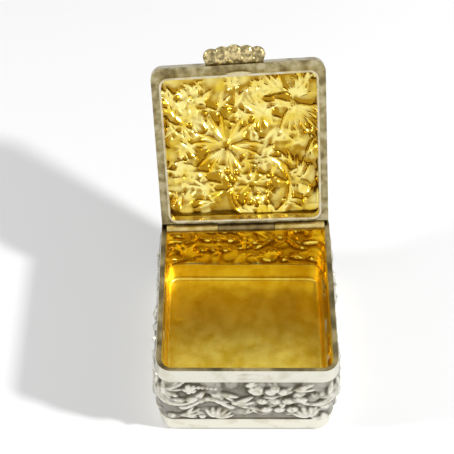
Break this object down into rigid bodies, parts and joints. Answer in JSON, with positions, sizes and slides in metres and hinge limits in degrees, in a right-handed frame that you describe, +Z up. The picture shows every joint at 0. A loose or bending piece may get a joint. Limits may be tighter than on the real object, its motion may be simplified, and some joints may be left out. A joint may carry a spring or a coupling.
{
  "type": "pill box",
  "caption": "Small square hinged box with embossed walls and lid, a lid flange, a pressed catch and a cast thumb lift, stored open.",
  "frame": {"origin": "centre of the underside, on the surface that the box stands on", "axes": "+Z up, -Y out of the front, +X to the right of someone facing the front"},
  "size_m": [0.0323, 0.0482, 0.0491],
  "materials": {
    "foot_band": "polished",
    "embossed_wall": "polished, darkened in the hollows",
    "rim": "polished, worn",
    "seat_metal": "tarnished satin",
    "hinge_tube": "tarnished satin",
    "hinge_pin": "satin",
    "embossed_lid": "polished outside, gilt inside",
    "flange": "polished",
    "cast_lift": "cast, tarnished"
  },
  "bodies": {
    "body": {"base_plate": "foot_band", "foot_band": "foot_band", "relief_wall": "embossed_wall", "rim_band": "rim", "hinge_deck": "seat_metal", "body_knuckle_left": "hinge_tube", "body_knuckle_right": "hinge_tube", "hinge_pin": "hinge_pin"},
    "lid": {"lid_shell": "embossed_lid", "lid_seat": "seat_metal", "lid_flange": "flange", "catch_boss": "flange", "lid_bearer": "seat_metal", "lid_knuckle": "hinge_tube", "thumb_piece": "cast_lift"}
  },
  "joints": [
    {"name": "lid_hinge", "type": "hinge", "parent": "body", "child": "lid", "pos_m": [0, 0.0133, 0.02], "axis": [-0.9993, -0.0366, 0], "range_deg": [-118, 0]}
  ]
}
